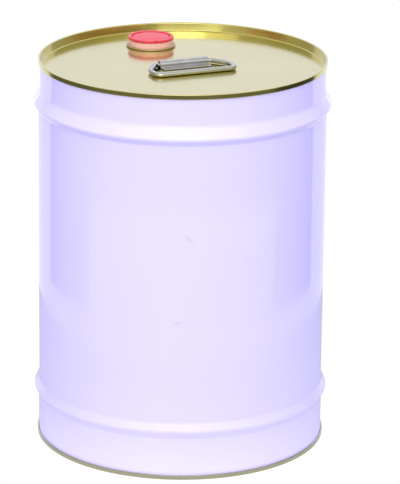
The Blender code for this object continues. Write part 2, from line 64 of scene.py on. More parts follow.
TOP_SEAM_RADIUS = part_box("top_head")[1].x / MM
BOTTOM_SEAM_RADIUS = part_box("bottom_head")[1].x / MM
COVER_WALL, BODY_HOOK, COVER_HOOK, BODY_WALL, CHUCK_WALL = range(5)
HOOK_BEND = 1.525
HOOK_TIP = 4.45
HOOK_ROUNDING = 0.25
DRUM_FACETS = 288
DEGREES_A_STEP = 6
ON_AXIS = 1e-6


def seam_layer(outside, number):
    """Middle radius of a layer of a double seam, counted from its outside."""
    return outside - SHEET / 2 - number * SEAM_PITCH


def rounded(corners, closed=False):
    """Points along corners of (x, y, rounding), each rounded corner as an arc."""
    count = len(corners)
    points = []
    for index, (x, y, rounding) in enumerate(corners):
        here = Vector((x, y))
        if not rounding or (not closed and index in (0, count - 1)):
            points.append(here)
            continue
        arriving = (here - Vector(corners[index - 1][:2])).normalized()
        leaving = (Vector(corners[(index + 1) % count][:2]) - here).normalized()
        turn = arriving.angle_signed(leaving)
        start = here - arriving * rounding * math.tan(abs(turn) / 2)
        centre = start + Vector((arriving.y, -arriving.x)) * math.copysign(rounding, turn)
        steps = max(2, math.ceil(math.degrees(abs(turn)) / DEGREES_A_STEP))
        for step in range(steps + 1):
            points.append(centre + Matrix.Rotation(-turn * step / steps, 2) @ (start - centre))
    # Where two arcs meet, their common point is kept once.
    kept = points[:1]
    for before, point in zip(points, points[1:]):
        if (point - before).length > ON_AXIS:
            kept.append(point)
    return kept


def spin(shape, profile, facets, centre=(0, 0, 0), closed=True, relief=None):
    """Turns a profile of (radius, height) about an upright axis and returns its rings of points.

    A closed profile makes a solid and an open one a sheet. The relief adds to the radius by angle and height.
    """
    origin = Vector(centre)
    rings = []
    for radius, height in profile:
        ring = []
        for step in range(facets if radius > ON_AXIS else 1):
            angle = 2 * math.pi * step / facets
            reach = radius + relief(angle, height) if relief else radius
            spoke = Vector((reach * math.cos(angle), reach * math.sin(angle), height))
            ring.append(shape.verts.new((origin + spoke) * MM))
        rings.append(ring)
    neighbours = rings[1:] + rings[:1] if closed else rings[1:]
    for upper, lower in zip(rings, neighbours):
        for step in range(max(len(upper), len(lower))):
            following = (step + 1) % facets
            corners = [
                upper[step % len(upper)],
                lower[step % len(lower)],
                lower[following % len(lower)],
                upper[following % len(upper)],
            ]
            corners = list(dict.fromkeys(corners))
            if len(corners) > 2:
                shape.faces.new(corners)
    return rings


def finished(name, shape, sharp_degrees=35):
    """The shape as a smooth-shaded object, with its edges sharp past an angle."""
    bmesh.ops.recalc_face_normals(shape, faces=shape.faces)
    mesh = bpy.data.meshes.new(name)
    shape.to_mesh(mesh)
    shape.free()
    mesh.shade_smooth()
    mesh.set_sharp_from_angle(angle=math.radians(sharp_degrees))
    piece = bpy.data.objects.new(name, mesh)
    bpy.context.scene.collection.objects.link(piece)
    return piece


def thicken(piece, thickness):
    """Gives a sheet its thickness, half to each side."""
    solidify = piece.modifiers.new("sheet", "SOLIDIFY")
    solidify.thickness = thickness * MM
    solidify.offset = 0
    solidify.use_even_offset = True


WALL = seam_layer(TOP_SEAM_RADIUS, COVER_WALL)
NECK_WALL = seam_layer(TOP_SEAM_RADIUS, BODY_WALL)
BASE_WALL = seam_layer(BOTTOM_SEAM_RADIUS, BODY_WALL)
UPPER_HOOP = HEIGHT - 44.0
LOWER_HOOP = 51.0
HOOP_ROUNDING = 3.5
upper_hook = seam_layer(TOP_SEAM_RADIUS, BODY_HOOK)
lower_hook = seam_layer(BOTTOM_SEAM_RADIUS, BODY_HOOK)
wall_line = [
    (NECK_WALL, UPPER_HOOP + 12.0, 10.0),
    (WALL + 4.9, UPPER_HOOP, HOOP_ROUNDING),
    (WALL, UPPER_HOOP - 6.5, 4.0),
    (WALL, LOWER_HOOP + 7.5, 5.0),
    (WALL + 5.3, LOWER_HOOP, HOOP_ROUNDING),
    (BASE_WALL, LOWER_HOOP - 8.0, 5.0),
]
shell_line = [
    (upper_hook, HEIGHT - HOOK_TIP, 0),
    (upper_hook, HEIGHT - HOOK_BEND, HOOK_ROUNDING),
    (NECK_WALL, HEIGHT - HOOK_BEND, HOOK_ROUNDING),
    *wall_line,
    (BASE_WALL, HOOK_BEND, HOOK_ROUNDING),
    (lower_hook, HOOK_BEND, HOOK_ROUNDING),
    (lower_hook, HOOK_TIP, 0),
]

# Rolled sheet is never quite round: it keeps soft waves of a hand's breadth and a few hundredths deep.
WAVE_LENGTH = 70.0
WAVE_DEPTH = 0.03


def rolling_wave(angle, height):
    around = Vector((math.cos(angle), math.sin(angle), height / WALL)) * WALL / WAVE_LENGTH
    return WAVE_DEPTH * noise.noise(around)


shape = bmesh.new()
spin(shape, rounded(shell_line), DRUM_FACETS, closed=False, relief=rolling_wave)
shell = finished("enamelled_shell", shape)
thicken(shell, SHEET)


def linear(colour):
    """An sRGB hex colour as linear red, green, blue and alpha."""
    shares = [int(colour[start:start + 2], 16) / 255 for start in (1, 3, 5)]
    return (*[share / 12.92 if share <= 0.04045 else ((share + 0.055) / 1.055) ** 2.4 for share in shares], 1)


def per(size):
    """How many times a pattern of this size in millimetres repeats in a metre."""
    return 1 / (size * MM)


def add(finish, kind, inputs={}, **settings):
    """Adds a node to a finish, sets it up, and links each input that is given a socket."""
    tree = finish.node_tree
    node = tree.nodes.new("ShaderNode" + kind)
    for name, value in settings.items():
        setattr(node, name, value)
    for name, value in inputs.items():
        if isinstance(value, bpy.types.NodeSocket):
            tree.links.new(value, node.inputs[name])
        else:
            node.inputs[name].default_value = value
    return node


def new_finish(name):
    finish = bpy.data.materials.new(name)
    finish.use_nodes = True
    finish.node_tree.nodes.clear()
    return finish


# Stoved enamel: a hard, glossy, slightly bluish white that mirrors the room at a slant. It has a faint
# orange peel, drawn coarser than its real 2 mm so that it shows, and two light scuffs on the front.
ENAMEL = "#CFC9FB"
ENAMEL_DEEP = "#CAC4F9"
SCUFF = "#A9A2C8"
PEEL = 9.0
MOTTLE = 160.0
# Each scuff: angle round the body, height, tilt, half its length and half its width
SCUFFS = [(250.3, 247.0, -42.0, 7.5, 2.6), (246.1, 162.0, 12.0, 5.2, 2.0)]
SCUFF_DEPTH = 6.0
SCUFF_GRAIN = 1.6

enamel = new_finish("stoved_white_enamel")
where = add(enamel, "TexCoord").outputs["Object"]
mottle = add(enamel, "TexNoise", {"Vector": where, "Scale": per(MOTTLE), "Detail": 3.0})
colour = add(
    enamel,
    "Mix",
    {0: mottle.outputs["Fac"], 6: linear(ENAMEL_DEEP), 7: linear(ENAMEL)},
    data_type="RGBA",
).outputs[2]
grain = add(enamel, "TexNoise", {"Vector": where, "Scale": per(SCUFF_GRAIN), "Detail": 4.0}).outputs["Fac"]
for angle, height, tilt, half_length, half_width in SCUFFS:
    turn = math.radians(angle)
    place = Vector((WALL * math.cos(turn), WALL * math.sin(turn), height)) * MM
    patch = add(
        enamel,
        "Mapping",
        {
            "Vector": where,
            "Location": place,
            "Rotation": (math.radians(tilt), 0, turn),
            "Scale": Vector((SCUFF_DEPTH, half_length, half_width)) * MM,
        },
        vector_type="TEXTURE",
    )
    round_patch = add(enamel, "TexGradient", {"Vector": patch.outputs[0]}, gradient_type="SPHERICAL")
    worn = add(enamel, "Math", {0: round_patch.outputs["Fac"], 1: grain}, operation="MULTIPLY")
    colour = add(
        enamel, "Mix", {0: worn.outputs[0], 6: colour, 7: linear(SCUFF)}, data_type="RGBA"
    ).outputs[2]
peel = add(enamel, "TexNoise", {"Vector": where, "Scale": per(PEEL), "Detail": 1.0})
skin = add(enamel, "Bump", {"Height": peel.outputs["Fac"], "Strength": 0.12, "Distance": 0.1 * MM})
gloss = add(enamel, "MapRange", {0: mottle.outputs["Fac"], 3: 0.06, 4: 0.11})
shader = add(
    enamel,
    "BsdfPrincipled",
    {
        "Base Color": colour,
        "Roughness": gloss.outputs[0],
        "IOR": 1.5,
        "Normal": skin.outputs[0],
    },
)
add(enamel, "OutputMaterial", {"Surface": shader.outputs[0]})
shell.data.materials.append(enamel)
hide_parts("body_shell")
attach(shell, "drum")

# Side seam
# The lap where the edges of the blank are resistance-welded, down the back of the body. The enamel
# stops short of it, and a clear stripe lacquer covers the bare steel beside the weld.
LAP_ANGLE = math.radians(93.75)
LAP_END = 7.0
# Across the seam: distance from its middle, and how far the surface stands out of the wall
LAP_SECTION = [
    (-5.6, -0.10), (-5.2, 0.03), (-2.9, 0.03), (-2.4, 0.26), (-1.2, 0.30), (0.0, 0.24),
    (1.2, 0.30), (2.4, 0.26), (2.9, 0.03), (5.2, 0.03), (5.6, -0.10),
]
LAP_BACK = 0.1
shape = bmesh.new()
columns = []
lap_line = [(NECK_WALL, HEIGHT - LAP_END, 0), *wall_line, (BASE_WALL, LAP_END, 0)]
for radius, height in rounded(lap_line):
    column = []
    for across, stand in LAP_SECTION:
        reach = radius + SHEET / 2 + stand
        angle = LAP_ANGLE + across / WALL
        place = Vector((reach * math.cos(angle), reach * math.sin(angle), height))
        column.append(shape.verts.new(place * MM))
    columns.append(column)
for upper, lower in zip(columns, columns[1:]):
    for side in range(len(LAP_SECTION) - 1):
        shape.faces.new((upper[side], upper[side + 1], lower[side + 1], lower[side]))
side_seam = finished("welded_side_seam", shape, 60)
thicken(side_seam, LAP_BACK)

# Bare welded steel under clear lacquer: grey and bright, with the weld's nuggets a millimetre apart.
NUGGET = 1.1
stripe = new_finish("lacquered_weld_stripe")
where = add(stripe, "TexCoord").outputs["Object"]
nuggets = add(
    stripe, "TexWave", {"Vector": where, "Scale": per(NUGGET) / (2 * math.pi) * 2, "Distortion": 1.5},
    bands_direction="Z",
)
blotch = add(stripe, "TexNoise", {"Vector": where, "Scale": per(6.0), "Detail": 4.0})
tint = add(
    stripe, "Mix", {0: blotch.outputs["Fac"], 6: linear("#8E8A86"), 7: linear("#CFCBC2")}, data_type="RGBA"
)
dents = add(stripe, "Bump", {"Height": nuggets.outputs["Fac"], "Strength": 0.5, "Distance": 0.08 * MM})
shader = add(
    stripe,
    "BsdfPrincipled",
    {
        "Base Color": tint.outputs[2],
        "Metallic": 1.0,
        "Roughness": 0.32,
        "Normal": dents.outputs[0],
    },
)
add(stripe, "OutputMaterial", {"Surface": shader.outputs[0]})
side_seam.data.materials.append(stripe)
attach(side_seam, "drum")

# Heads
# Two discs of tinplate, lacquered gold, the bottom one more thinly. They are pressed into a recess and
# double-seamed to the body. The top one has a hole for the spout, its edge drawn up into a short neck.
CURL_DEPTH = 4.825
COVER_HOOK_TIP = 1.9
CURL_ROUNDING = 0.45
CREST_ROUNDING = 0.9
OUTER_CREST_ROUNDING = 0.5
RECESS_ROUNDING = 1.2
CHUCK_TAPER = math.radians(4)
FLAT_MARGIN = 3.0
PANEL_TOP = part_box("top_head")[0].z / MM + SHEET
BOTTOM_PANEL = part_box("bottom_head")[1].z / MM - SHEET


def head_line(outside, recess):
    """Middle line of a head as (radius, depth below its crest), from its hook to the flat of its panel."""
    chuck = seam_layer(outside, CHUCK_WALL)
    panel = recess + SHEET / 2
    foot = chuck - panel * math.tan(CHUCK_TAPER)
    return rounded([
        (seam_layer(outside, COVER_HOOK), COVER_HOOK_TIP, 0),
        (seam_layer(outside, COVER_HOOK), CURL_DEPTH, HOOK_ROUNDING),
        (seam_layer(outside, COVER_WALL), CURL_DEPTH, CURL_ROUNDING),
        (seam_layer(outside, COVER_WALL), SHEET / 2, OUTER_CREST_ROUNDING),
        (chuck, SHEET / 2, CREST_ROUNDING),
        (foot, panel, RECESS_ROUNDING),
        (foot - FLAT_MARGIN, panel, 0),
    ])


def loop_edges(shape, ring):
    return [shape.edges.get((a, b)) for a, b in zip(ring, ring[1:] + ring[:1])]


joints = {joint["name"]: joint for joint in frame["joints"]}
closure = Vector(joints["cap_turn"]["pos_m"]) / MM
CLOSURE_FACETS = 128
HEAD_NECK = 19.825
HEAD_NECK_TOP = 4.2
HEAD_NECK_ROUNDING = 1.0
shape = bmesh.new()
top_line = [(radius, HEIGHT - depth) for radius, depth in head_line(TOP_SEAM_RADIUS, HEIGHT - PANEL_TOP)]
panel_ring = spin(shape, top_line, DRUM_FACETS, closed=False)[-1]
neck_line = rounded([
    (HEAD_NECK + HEAD_NECK_ROUNDING + FLAT_MARGIN, -SHEET / 2, 0),
    (HEAD_NECK, -SHEET / 2, HEAD_NECK_ROUNDING),
    (HEAD_NECK, HEAD_NECK_TOP, 0),
])
hole_ring = spin(shape, neck_line, CLOSURE_FACETS, closure, closed=False)[0]
edges = loop_edges(shape, panel_ring) + loop_edges(shape, hole_ring)
bmesh.ops.triangle_fill(shape, edges=edges, use_beauty=True)
top_head = finished("lacquered_top_head", shape)
thicken(top_head, SHEET)

shape = bmesh.new()
bottom_line = head_line(BOTTOM_SEAM_RADIUS, BOTTOM_PANEL)
spin(shape, bottom_line + [Vector((0, bottom_line[-1].y))], DRUM_FACETS, closed=False)
bottom_head = finished("lacquered_bottom_head", shape)
thicken(bottom_head, SHEET)

# Lacquer over bright tinplate: a soft mirror under a clear film, yellow where the film is thick. The
# rolling lines of the plate are drawn 1.5 mm apart, coarser than they are, and rubbing has bared the tin
# on the crests.
BARE_TIN = "#D8D6CE"
ROLLING_LINE = 1.5
LINE_STRETCH = 0.02
CREST_BAND = 0.35
CREST_RUB = 0.4
RUB_SIZE = 7.0
LACQUER_MOTTLE = 45.0
BUCKLE = 85.0


def lacquered_tinplate(name, thin, thick, smooth, rough):
    """Tinplate under a film of lacquer that varies between two colours and two roughnesses."""
    finish = new_finish(name)
    where = add(finish, "TexCoord").outputs["Object"]
    film = add(finish, "TexNoise", {"Vector": where, "Scale": per(LACQUER_MOTTLE), "Detail": 3.0})
    lacquer = add(
        finish, "Mix", {0: film.outputs["Fac"], 6: linear(thin), 7: linear(thick)}, data_type="RGBA"
    )
    height = add(finish, "SeparateXYZ", {0: where}).outputs["Z"]
    from_middle = add(finish, "Math", {0: height, 1: HEIGHT / 2 * MM}, operation="SUBTRACT")
    from_middle = add(finish, "Math", {0: from_middle.outputs[0]}, operation="ABSOLUTE")
    crest = add(
        finish,
        "MapRange",
        {
            0: from_middle.outputs[0],
            1: (HEIGHT / 2 - CREST_BAND) * MM,
            2: HEIGHT / 2 * MM,
            3: 0.0,
            4: CREST_RUB,
        },
    )
    rub = add(finish, "TexNoise", {"Vector": where, "Scale": per(RUB_SIZE), "Detail": 5.0})
    bared = add(finish, "Math", {0: crest.outputs[0], 1: rub.outputs["Fac"]}, operation="MULTIPLY")
    colour = add(
        finish, "Mix", {0: bared.outputs[0], 6: lacquer.outputs[2], 7: linear(BARE_TIN)}, data_type="RGBA"
    )
    along = add(finish, "Mapping", {"Vector": where, "Scale": (LINE_STRETCH, 1, 1)})
    lines = add(finish, "TexNoise", {"Vector": along.outputs[0], "Scale": per(ROLLING_LINE), "Detail": 3.0})
    gloss = add(finish, "MapRange", {0: lines.outputs["Fac"], 3: smooth, 4: rough})
    buckle = add(finish, "TexNoise", {"Vector": where, "Scale": per(BUCKLE), "Detail": 1.0})
    wavy = add(finish, "Bump", {"Height": buckle.outputs["Fac"], "Strength": 0.1, "Distance": 1.0 * MM})
    rolled = add(
        finish,
        "Bump",
        {"Height": lines.outputs["Fac"], "Strength": 0.05, "Distance": 0.01 * MM, "Normal": wavy.outputs[0]},
    )
    shader = add(
        finish,
        "BsdfPrincipled",
        {
            "Base Color": colour.outputs[2],
            "Metallic": 1.0,
            "Roughness": gloss.outputs[0],
            "Coat Weight": 0.6,
            "Coat Roughness": 0.12,
            "Normal": rolled.outputs[0],
        },
    )
    add(finish, "OutputMaterial", {"Surface": shader.outputs[0]})
    return finish


gold = lacquered_tinplate("gold_lacquered_tinplate", "#DAD080", "#CFC36A", 0.15, 0.21)
pale_gold = lacquered_tinplate("thinly_lacquered_tinplate", "#D2D0B8", "#C5C2A6", 0.2, 0.28)
for head, node, finish in ((top_head, "top_head", gold), (bottom_head, "bottom_head", pale_gold)):
    head.data.materials.append(finish)
    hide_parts(node)
    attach(head, "drum")

# Seam compound
# A water-based rubber that is run into the curl of each head before seaming, and cures there as a thin
# ring. It is out of sight inside the seams, so the rings of the frame stay.
compound = new_finish("cured_seam_compound")
where = add(compound, "TexCoord").outputs["Object"]
lumps = add(compound, "TexNoise", {"Vector": where, "Scale": per(1.2), "Detail": 3.0})
grey = add(
    compound, "Mix", {0: lumps.outputs["Fac"], 6: linear("#8A8984"), 7: linear("#9A9993")}, data_type="RGBA"
)
skin = add(compound, "Bump", {"Height": lumps.outputs["Fac"], "Strength": 0.4, "Distance": 0.1 * MM})
shader = add(
    compound, "BsdfPrincipled", {"Base Color": grey.outputs[2], "Roughness": 0.8, "Normal": skin.outputs[0]}
)
add(compound, "OutputMaterial", {"Surface": shader.outputs[0]})
for node in ("top_seam_compound", "bottom_seam_compound"):
    ring = frame["nodes"][node]
    ring.data.materials.clear()
    ring.data.materials.append(compound)

# Strap
# A piece of tinned sheet, pressed into an arch over the bail's wire with a flange each side. Each flange
# is held to the head by two spot welds, whose electrodes leave round dimples.
STRAP_SHEET = 0.9
STRAP_LENGTH = 51.0
STRAP_FLANGE = 10.0
STRAP_BEND = 0.8
STRAP_LIFT = 0.3
WIRE_RADIUS = 2.55
STRAP_CLEARANCE = 0.75
WELD_RADIUS = 2.1
WELD_DEPTH = 0.22
WELD_RIM = 0.07
WELD_SPACING = 30.0
STRAP_STEP = 0.5
pivot = Vector(joints["bail_swing"]["pos_m"]) / MM
arch = WIRE_RADIUS + STRAP_CLEARANCE + STRAP_SHEET / 2
foot = PANEL_TOP + STRAP_LIFT + STRAP_SHEET / 2
crown = pivot.z + arch
edge = arch + STRAP_FLANGE
flange_steps = int((STRAP_FLANGE - STRAP_BEND) / STRAP_STEP)
front_flange = [(-edge + STRAP_STEP * step, foot, 0) for step in range(flange_steps)]
back_flange = [(-across, height, 0) for across, height, _ in reversed(front_flange)]
strap_line = rounded([
    *front_flange,
    (-arch, foot, STRAP_BEND),
    (-arch, crown, arch),
    (arch, crown, arch),
    (arch, foot, STRAP_BEND),
    *back_flange,
])
weld_line = arch + STRAP_FLANGE / 2


def weld_dimple(x, y):
    """How far the flange is pressed down at a place, with a low rim round each dimple."""
    away = Vector((abs(x) - WELD_SPACING / 2, abs(y) - weld_line)).length / WELD_RADIUS
    if away < 1:
        return -WELD_DEPTH * (1 - away ** 4)
    return WELD_RIM * max(0, 1 - (away - 1) * 4)


shape = bmesh.new()
rows = []
for step in range(int(STRAP_LENGTH / STRAP_STEP) + 1):
    x = -STRAP_LENGTH / 2 + STRAP_STEP * step
    row = []
    for y, z in strap_line:
        row.append(shape.verts.new(Vector((x, y, z + weld_dimple(x, y))) * MM))
    rows.append(row)
for near, far in zip(rows, rows[1:]):
    for side in range(len(strap_line) - 1):
        shape.faces.new((near[side], near[side + 1], far[side + 1], far[side]))
strap = finished("pressed_strap", shape)
thicken(strap, STRAP_SHEET)
softened = strap.modifiers.new("sheared edges", "BEVEL")
softened.width = 0.12 * MM
softened.segments = 2
softened.limit_method = "ANGLE"
softened.angle_limit = math.radians(60)

# Bright tinned sheet: silvery, with rolling lines along the strap, drawn 1.4 mm apart so that they show.
TIN = "#D2D2D0"
TIN_DULL = "#7C7C7E"
tin = new_finish("bright_tinned_sheet")
where = add(tin, "TexCoord").outputs["Object"]
along = add(tin, "Mapping", {"Vector": where, "Scale": (0.015, 1, 1)})
lines = add(tin, "TexNoise", {"Vector": along.outputs[0], "Scale": per(1.4), "Detail": 2.0})
bloom = add(tin, "TexNoise", {"Vector": where, "Scale": per(9.0), "Detail": 3.0})
dull = add(tin, "Math", {0: lines.outputs["Fac"], 1: bloom.outputs["Fac"]}, operation="MULTIPLY")
colour = add(
    tin, "Mix", {0: dull.outputs[0], 6: linear(TIN), 7: linear(TIN_DULL)}, data_type="RGBA"
)
gloss = add(tin, "MapRange", {0: lines.outputs["Fac"], 3: 0.14, 4: 0.3})
drawn = add(tin, "Bump", {"Height": lines.outputs["Fac"], "Strength": 0.25, "Distance": 0.03 * MM})
shader = add(
    tin,
    "BsdfPrincipled",
    {
        "Base Color": colour.outputs[2],
        "Metallic": 1.0,
        "Roughness": gloss.outputs[0],
        "Normal": drawn.outputs[0],
    },
)
add(tin, "OutputMaterial", {"Surface": shader.outputs[0]})
strap.data.materials.append(tin)
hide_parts("bail_strap")
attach(strap, "drum")

# Bail
# Steel wire bent to a stirrup, whose ends butt inside the strap. It swings there, and its grip sags a
# little, so that it lies on the head when it isn't in use.
BAIL_HALF_WIDTH = 42.0
BAIL_SHOULDER = 17.0
BAIL_REACH = 35.0
BAIL_END_GAP = 1.0
BAIL_SAG = 0.42
BAIL_NECK_MARGIN = 1.2
NECK_ROUNDING = 6.0
SHOULDER_ROUNDING = 12.0
GRIP_ROUNDING = 7.0
WIRE_SIDES = 24
END_CHAMFER = 0.4
lean = math.atan2(BAIL_SHOULDER, BAIL_HALF_WIDTH - STRAP_LENGTH / 2 - BAIL_NECK_MARGIN)
neck = STRAP_LENGTH / 2 + BAIL_NECK_MARGIN + NECK_ROUNDING * math.tan(lean / 2)
half_bail = [
    (BAIL_END_GAP / 2, 0, 0),
    (neck, 0, NECK_ROUNDING),
    (BAIL_HALF_WIDTH, -BAIL_SHOULDER, SHOULDER_ROUNDING),
    (BAIL_HALF_WIDTH, -BAIL_REACH, GRIP_ROUNDING),
]
mirrored = [(-x, y, rounding) for x, y, rounding in reversed(half_bail)]
bail_line = rounded(half_bail + mirrored)
# Each end is chamfered by drawing its first points in.
thickness = [WIRE_RADIUS] * len(bail_line)
for end, inward in ((0, 1), (-1, -2)):
    direction = (bail_line[inward] - bail_line[end]).normalized()
    chamfer = bail_line[end] + direction * END_CHAMFER
    position = 1 if end == 0 else len(bail_line) - 1
    bail_line.insert(position, chamfer)
    thickness.insert(position, WIRE_RADIUS)
thickness[0] = thickness[-1] = WIRE_RADIUS - END_CHAMFER

shape = bmesh.new()
rings = []
lengths = [0.0]
for index, point in enumerate(bail_line):
    before = bail_line[max(index - 1, 0)]
    after = bail_line[min(index + 1, len(bail_line) - 1)]
    if index:
        lengths.append(lengths[-1] + (point - before).length)
    heading = (after - before).normalized()
    sideways = Vector((-heading.y, heading.x, 0))
    wire_middle = pivot + Vector((point.x, point.y, BAIL_SAG * point.y / BAIL_REACH))
    ring = []
    for side in range(WIRE_SIDES):
        angle = 2 * math.pi * side / WIRE_SIDES
        offset = sideways * math.cos(angle) + Vector((0, 0, math.sin(angle)))
        ring.append(shape.verts.new((wire_middle + offset * thickness[index]) * MM))
    rings.append(ring)
wire_map = shape.loops.layers.uv.new("along_the_wire")
for index, (near, far) in enumerate(zip(rings, rings[1:])):
    for side in range(WIRE_SIDES):
        following = (side + 1) % WIRE_SIDES
        face = shape.faces.new((near[side], far[side], far[following], near[following]))
        marks = [(index, side), (index + 1, side), (index + 1, side + 1), (index, side + 1)]
        for loop, (ring_number, side_number) in zip(face.loops, marks):
            loop[wire_map].uv = (lengths[ring_number] * MM, side_number / WIRE_SIDES)
shape.faces.new(rings[0])
shape.faces.new(rings[-1])
bail = finished("wire_bail", shape)

# Bright drawn wire: polished by its die, which leaves fine lines along it, a few dozen round the wire.
STEEL = "#CDCDC4"
STEEL_SHADE = "#B3B3AB"
DIE_LINES = 30
bright_wire = new_finish("bright_drawn_steel_wire")
round_the_wire = add(bright_wire, "UVMap", uv_map="along_the_wire").outputs[0]
spread = add(bright_wire, "Mapping", {"Vector": round_the_wire, "Scale": (12.0, DIE_LINES, 1.0)})
die_lines = add(bright_wire, "TexNoise", {"Vector": spread.outputs[0], "Scale": 1.0, "Detail": 3.0})
colour = add(
    bright_wire,
    "Mix",
    {0: die_lines.outputs["Fac"], 6: linear(STEEL), 7: linear(STEEL_SHADE)},
    data_type="RGBA",
)
gloss = add(bright_wire, "MapRange", {0: die_lines.outputs["Fac"], 3: 0.08, 4: 0.2})
drawn = add(
    bright_wire, "Bump", {"Height": die_lines.outputs["Fac"], "Strength": 0.15, "Distance": 0.05 * MM}
)
shader = add(
    bright_wire,
    "BsdfPrincipled",
    {
        "Base Color": colour.outputs[2],
        "Metallic": 1.0,
        "Roughness": gloss.outputs[0],
        "Normal": drawn.outputs[0],
    },
)
add(bright_wire, "OutputMaterial", {"Surface": shader.outputs[0]})
bail.data.materials.append(bright_wire)
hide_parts("bail_handle")
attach(bail, "bail")

# Crimp ring
# A drawn ring of gold-lacquered plate, which drawing has left satin. It is pressed round the foot of the
# spout's base, and closes it on the neck of the head.
CRIMP_OUTER = 24.75
CRIMP_INNER = 23.95
CRIMP_LIP = 22.75
CRIMP_TOP = 2.2
CRIMP_LIP_UNDERSIDE = 1.5
CRIMP_FOOT = 0.3
crimp_section = rounded([
    (CRIMP_LIP, CRIMP_TOP, 0.15),
    (CRIMP_OUTER, CRIMP_TOP, 0.6),
    (CRIMP_OUTER, CRIMP_FOOT, 0.2),
    (CRIMP_INNER, CRIMP_FOOT, 0),
    (CRIMP_INNER, CRIMP_LIP_UNDERSIDE, 0),
    (CRIMP_LIP, CRIMP_LIP_UNDERSIDE, 0),
], closed=True)


def solid(name, section, facets, centre):
    """A closed section, turned about an upright axis and finished."""
    shape = bmesh.new()
    spin(shape, section, facets, centre)
    return finished(name, shape)


crimp = solid("lacquered_crimp_ring", crimp_section, CLOSURE_FACETS, closure)
satin_gold = lacquered_tinplate("drawn_lacquered_tinplate", "#DCC6A0", "#CFB78C", 0.55, 0.65)
crimp.data.materials.append(satin_gold)
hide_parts("crimp_ring")
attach(crimp, "drum")

# Spout base
# The foot of the pouring spout, moulded in polyethylene. It hooks over the head's neck, clicks in under
# the head with a barb, and its skirt rises as a rim round the cap.
BASE_BORE = 17.85
BASE_PLUG = 19.2
BASE_BARB = 20.2
BASE_SKIRT_INNER = 20.45
BASE_SKIRT_OUTER = 22.45
BASE_FLANGE = 23.65
BASE_RIM = 7.2
BASE_LEDGE = 5.85
BASE_LEDGE_UNDERSIDE = 4.65
BASE_FLANGE_TOP = 1.2
BASE_FOOT = 0.5
BASE_BOTTOM = -3.0
base_section = rounded([
    (BASE_BORE, BASE_LEDGE, 0.2),
    (BASE_SKIRT_INNER, BASE_LEDGE, 0.15),
    (BASE_SKIRT_INNER, BASE_RIM, 0.3),
    (BASE_SKIRT_OUTER, BASE_RIM, 0.55),
    (BASE_SKIRT_OUTER, BASE_FLANGE_TOP, 0.2),
    (BASE_FLANGE, BASE_FLANGE_TOP, 0.15),
    (BASE_FLANGE, BASE_FOOT, 0),
    (BASE_SKIRT_INNER, BASE_FOOT, 0),
    (BASE_SKIRT_INNER, BASE_LEDGE_UNDERSIDE, 0.2),
    (BASE_PLUG, BASE_LEDGE_UNDERSIDE, 0.2),
    (BASE_PLUG, -0.75, 0),
    (BASE_BARB, -1.15, 0),
    (BASE_PLUG, BASE_BOTTOM, 0),
    (BASE_BORE, BASE_BOTTOM, 0),
], closed=True)
base = solid("moulded_spout_base", base_section, CLOSURE_FACETS, closure)

# Natural polyethylene: waxy and slightly see-through, pink here beside the red cap, with faint flow
# marks from moulding a few millimetres long.
PALE = "#E6BCAE"
PALE_DEEP = "#D8A698"
pale = new_finish("natural_polyethylene")
where = add(pale, "TexCoord").outputs["Object"]
flow = add(pale, "TexNoise", {"Vector": where, "Scale": per(5.0), "Detail": 3.0, "Distortion": 0.6})
colour = add(
    pale, "Mix", {0: flow.outputs["Fac"], 6: linear(PALE), 7: linear(PALE_DEEP)}, data_type="RGBA"
)
wax = add(pale, "TexNoise", {"Vector": where, "Scale": per(0.7), "Detail": 2.0})
skin = add(pale, "Bump", {"Height": wax.outputs["Fac"], "Strength": 0.15, "Distance": 0.03 * MM})
gloss = add(pale, "MapRange", {0: flow.outputs["Fac"], 3: 0.28, 4: 0.4})
shader = add(
    pale,
    "BsdfPrincipled",
    {
        "Base Color": colour.outputs[2],
        "Roughness": gloss.outputs[0],
        "IOR": 1.51,
        "Subsurface Weight": 0.25,
        "Subsurface Radius": (1.0, 0.5, 0.4),
        "Subsurface Scale": 1.5 * MM,
        "Normal": skin.outputs[0],
    },
)
add(pale, "OutputMaterial", {"Surface": shader.outputs[0]})
base.data.materials.append(pale)
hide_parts("spout_base")
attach(base, "drum")

# Spout sleeve
# The thin wall between base and neck, part of the same moulding. It hangs inside the drum at rest, and is
# made here only as it hangs; on the real drum it turns inside out as the spout is pulled up.
SLEEVE_TOP = -3.3
SLEEVE_DEPTH = 19.0
SLEEVE_TOP_RADIUS = 17.05
SLEEVE_BOTTOM_RADIUS = 15.4
SLEEVE_SWELL = 0.4
SLEEVE_WALL = 1.0
SLEEVE_STEPS = 40
sleeve_line = []
for step in range(SLEEVE_STEPS + 1):
    share = step / SLEEVE_STEPS
    taper = SLEEVE_TOP_RADIUS + (SLEEVE_BOTTOM_RADIUS - SLEEVE_TOP_RADIUS) * share
    sleeve_line.append((taper + SLEEVE_SWELL * math.sin(math.pi * share), SLEEVE_TOP - SLEEVE_DEPTH * share))
shape = bmesh.new()
spin(shape, sleeve_line, CLOSURE_FACETS, closure, closed=False)
sleeve = finished("spout_sleeve", shape)
thicken(sleeve, SLEEVE_WALL)
sleeve.data.materials.append(pale)
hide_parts("spout_bellows")
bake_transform(sleeve)

# Spout neck
# The pouring tube, part of the same moulding, with the thread that the cap screws on. The flange at its
# foot joins the sleeve.
NECK_BORE = 12.5
NECK_RADIUS = 14.0
NECK_TOP = 5.2
NECK_FOOT = -22.6
NECK_FOOT_RADIUS = 14.6
NECK_BOTTOM = -23.5
THREAD_PITCH = 3.0
THREAD_TURNS = 1.25
THREAD_HALF_WIDTH = 0.55
THREAD_FLANK = 0.3
THREAD_RUN_OUT = 0.05
THREAD_STEP = 0.15


